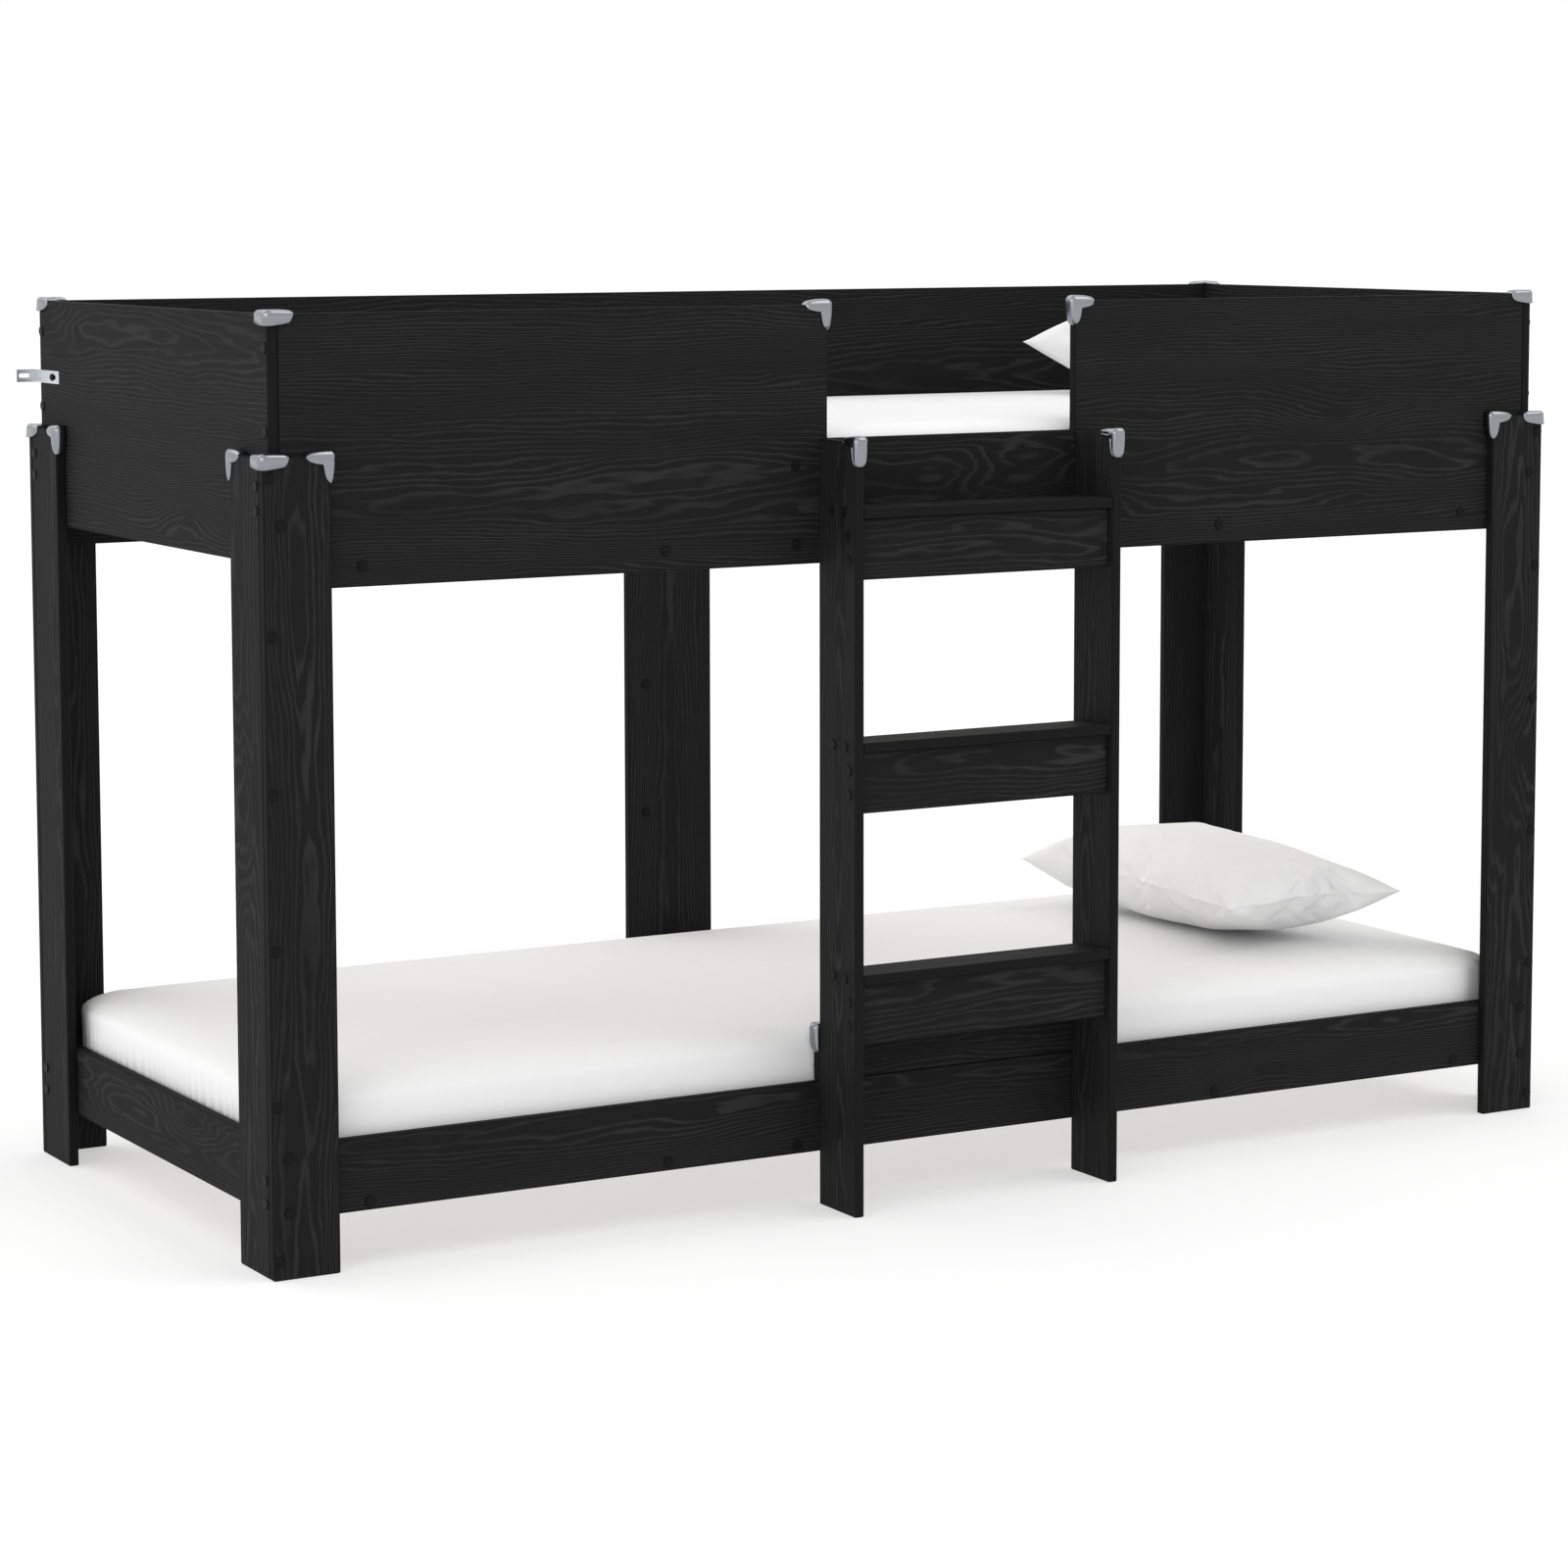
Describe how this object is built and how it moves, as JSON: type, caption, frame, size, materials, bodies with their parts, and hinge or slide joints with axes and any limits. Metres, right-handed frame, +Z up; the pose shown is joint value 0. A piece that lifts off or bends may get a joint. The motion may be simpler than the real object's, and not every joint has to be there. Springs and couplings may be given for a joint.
{
  "type": "bunk bed with ladder",
  "caption": "Low bunk bed of thin dark boards screwed edge to edge, with metal corner guards, a fixed front ladder, an entry notch and loose mattresses and pillows.",
  "frame": {"origin": "on the floor, under the middle of the whole object's box", "axes": "+X along the bed towards the pillows, -Y out of the ladder side, +Z up"},
  "size_m": [2.086, 0.9506, 1.2395],
  "materials": {
    "stained_pine": "black-stained solid pine, brushed grain, satin",
    "raw_pine": "sanded, untreated",
    "black_steel": "black, satin",
    "black_plastic": "matte moulded cap",
    "satin_guards": "satin silver",
    "zinc_steel": "zinc-plated",
    "mattress_cover": "white cotton fitted sheet",
    "pillow_cover": "white cotton pillow case"
  },
  "bodies": {
    "frame": {"post_front_left_face": "stained_pine", "post_front_left_side": "stained_pine", "post_front_right_face": "stained_pine", "post_front_right_side": "stained_pine", "post_rear_left_face": "stained_pine", "post_rear_left_side": "stained_pine", "post_rear_right_face": "stained_pine", "post_rear_right_side": "stained_pine", "post_rear_middle": "stained_pine", "upper_panel_front": "stained_pine", "upper_panel_rear": "stained_pine", "upper_panel_left": "stained_pine", "upper_panel_right": "stained_pine", "lower_rail_front": "stained_pine", "lower_rail_rear": "stained_pine", "lower_rail_left": "stained_pine", "lower_rail_right": "stained_pine", "raised_board": "stained_pine", "ladder_stile_left": "stained_pine", "ladder_stile_right": "stained_pine", "ladder_tread_low": "stained_pine", "ladder_tread_middle": "stained_pine", "ladder_tread_high": "stained_pine", "ladder_apron_low": "stained_pine", "ladder_apron_middle": "stained_pine", "ladder_apron_high": "stained_pine", "upper_ledger_front": "stained_pine", "upper_ledger_rear": "stained_pine", "lower_ledger_front": "stained_pine", "lower_ledger_rear": "stained_pine", "raised_board_dowels": "raw_pine", "upper_slats": "raw_pine", "lower_slats": "raw_pine", "post_edge_screws": "black_steel", "end_edge_screws": "black_steel", "post_side_screws": "black_steel", "panel_corner_screws": "black_steel", "upper_ledger_screws": "black_steel", "lower_ledger_screws": "black_steel", "tread_screws": "black_steel", "ladder_fixing_screws": "black_steel", "middle_post_screws": "black_steel", "bracket_screws": "black_steel", "spare_hole_caps": "black_plastic", "panel_corner_guards": "satin_guards", "post_corner_guards": "satin_guards", "post_board_guards": "satin_guards", "notch_guards": "satin_guards", "ladder_guards": "satin_guards", "raised_board_guards": "satin_guards", "wall_bracket_left": "zinc_steel", "wall_bracket_right": "zinc_steel", "upper_slat_screws": "zinc_steel", "lower_slat_screws": "zinc_steel"},
    "upper_mattress_body": {"upper_mattress": "mattress_cover"},
    "lower_mattress_body": {"lower_mattress": "mattress_cover"},
    "upper_pillow_body": {"upper_pillow": "pillow_cover"},
    "lower_pillow_body": {"lower_pillow": "pillow_cover"}
  },
  "joints": [
    {"name": "upper_mattress_lift", "type": "slide", "parent": "frame", "child": "upper_mattress_body", "axis": [0, 0, 1], "range_m": [0, 0.35]},
    {"name": "lower_mattress_lift", "type": "slide", "parent": "frame", "child": "lower_mattress_body", "axis": [0, 0, 1], "range_m": [0, 0.25]},
    {"name": "upper_pillow_lift", "type": "slide", "parent": "upper_mattress_body", "child": "upper_pillow_body", "axis": [0, 0, 1], "range_m": [0, 0.3]},
    {"name": "lower_pillow_lift", "type": "slide", "parent": "lower_mattress_body", "child": "lower_pillow_body", "axis": [0, 0, 1], "range_m": [0, 0.2]}
  ]
}
